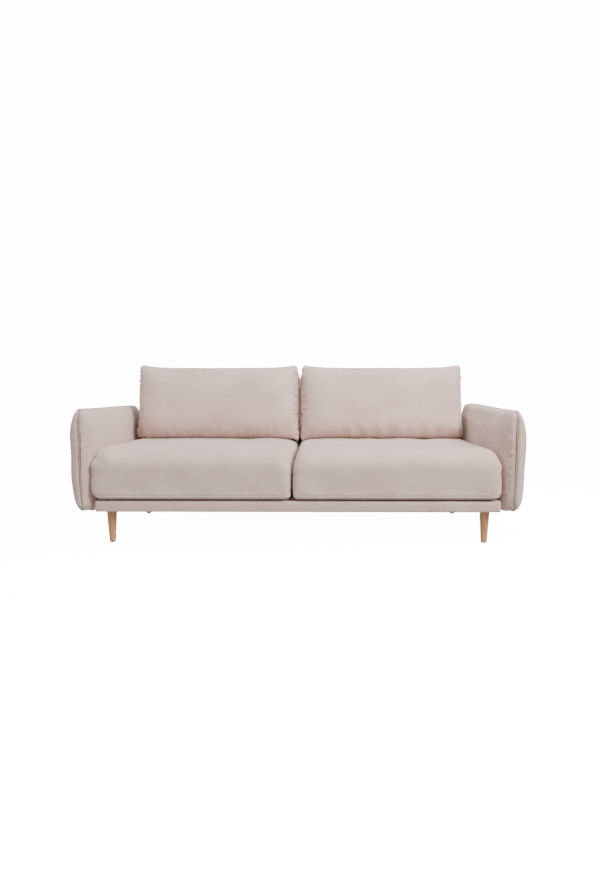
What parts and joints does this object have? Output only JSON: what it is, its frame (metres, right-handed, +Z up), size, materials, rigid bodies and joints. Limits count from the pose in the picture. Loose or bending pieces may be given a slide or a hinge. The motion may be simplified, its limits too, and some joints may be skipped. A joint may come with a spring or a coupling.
{
  "type": "sofa",
  "caption": "Low upholstered sofa with loose seat and back cushions, padded welted arms and round tapered wooden legs.",
  "frame": {"origin": "on the floor, under the middle of the sofa's outline", "axes": "+X towards the arm on the right as seen from the front, +Y from the front to the back, +Z up"},
  "size_m": [2.3, 0.93, 0.9109],
  "materials": {
    "upholstery": "fine plain-weave upholstery cloth, warm greige",
    "welt_cord": "the same cloth sewn round a cord",
    "leg_wood": "turned hardwood, satin lacquer",
    "frame_timber": "planed softwood",
    "hardboard": "hardboard sheet",
    "webbing": "woven elastic webbing",
    "deck_lining": "woven lining cloth",
    "dust_lining": "spun-bonded black cloth",
    "glide": "moulded nylon",
    "zinc_steel": "zinc plated",
    "foam": "open-cell polyurethane foam",
    "fibre": "polyester fibre",
    "zip_tape": "woven tape with a nylon coil",
    "zip_metal": "nickel plated"
  },
  "bodies": {
    "frame": {"front_rail": "frame_timber", "rear_rail": "frame_timber", "left_side_rail": "frame_timber", "right_side_rail": "frame_timber", "centre_stretchers": "frame_timber", "corner_blocks": "frame_timber", "seat_webbing": "webbing", "deck_cloth": "deck_lining", "base_cover": "upholstery", "dust_cover": "dust_lining", "front_left_leg": "leg_wood", "front_right_leg": "leg_wood", "rear_left_leg": "leg_wood", "rear_right_leg": "leg_wood", "leg_glides": "glide", "hanger_bolts": "zinc_steel", "t_nuts": "zinc_steel", "joining_bolts": "zinc_steel", "bolt_washers": "zinc_steel", "left_arm_posts": "frame_timber", "left_arm_rails": "frame_timber", "left_arm_panel": "hardboard", "left_arm_inner_foam": "foam", "left_arm_outer_foam": "foam", "left_arm_inner_cover": "upholstery", "left_arm_outer_cover": "upholstery", "left_arm_welt": "welt_cord", "right_arm_posts": "frame_timber", "right_arm_rails": "frame_timber", "right_arm_panel": "hardboard", "right_arm_inner_foam": "foam", "right_arm_outer_foam": "foam", "right_arm_inner_cover": "upholstery", "right_arm_outer_cover": "upholstery", "right_arm_welt": "welt_cord", "back_posts": "frame_timber", "back_rails": "frame_timber", "back_webbing": "webbing", "back_front_foam": "foam", "back_rear_foam": "foam", "back_inside_cover": "upholstery", "back_outside_cover": "upholstery"},
    "left_seat_cushion": {"left_seat_core": "foam", "left_seat_wrap": "fibre", "left_seat_cover": "upholstery", "left_seat_zip": "zip_tape"},
    "left_back_cushion": {"left_pillow_fill": "fibre", "left_pillow_cover": "upholstery", "left_pillow_zip": "zip_tape"},
    "left_seat_zip_pull": {"left_seat_zip_slider": "zip_metal"},
    "left_back_zip_pull": {"left_pillow_zip_slider": "zip_metal"},
    "right_seat_cushion": {"right_seat_core": "foam", "right_seat_wrap": "fibre", "right_seat_cover": "upholstery", "right_seat_zip": "zip_tape"},
    "right_back_cushion": {"right_pillow_fill": "fibre", "right_pillow_cover": "upholstery", "right_pillow_zip": "zip_tape"},
    "right_seat_zip_pull": {"right_seat_zip_slider": "zip_metal"},
    "right_back_zip_pull": {"right_pillow_zip_slider": "zip_metal"}
  },
  "joints": [
    {"name": "left_seat_lift", "type": "slide", "parent": "frame", "child": "left_seat_cushion", "axis": [0, 0, 1], "range_m": [0, 0.5]},
    {"name": "left_back_lift", "type": "slide", "parent": "left_seat_cushion", "child": "left_back_cushion", "axis": [0, 0, 1], "range_m": [0, 0.25]},
    {"name": "left_seat_zip_run", "type": "slide", "parent": "left_seat_cushion", "child": "left_seat_zip_pull", "axis": [1, 0, 0], "range_m": [0, 0.76]},
    {"name": "left_back_zip_run", "type": "slide", "parent": "left_back_cushion", "child": "left_back_zip_pull", "axis": [1, 0, 0], "range_m": [0, 0.74]},
    {"name": "right_seat_lift", "type": "slide", "parent": "frame", "child": "right_seat_cushion", "axis": [0, 0, 1], "range_m": [0, 0.5]},
    {"name": "right_back_lift", "type": "slide", "parent": "right_seat_cushion", "child": "right_back_cushion", "axis": [0, 0, 1], "range_m": [0, 0.25]},
    {"name": "right_seat_zip_run", "type": "slide", "parent": "right_seat_cushion", "child": "right_seat_zip_pull", "axis": [-1, 0, 0], "range_m": [0, 0.76]},
    {"name": "right_back_zip_run", "type": "slide", "parent": "right_back_cushion", "child": "right_back_zip_pull", "axis": [-1, 0, 0], "range_m": [0, 0.74]}
  ]
}
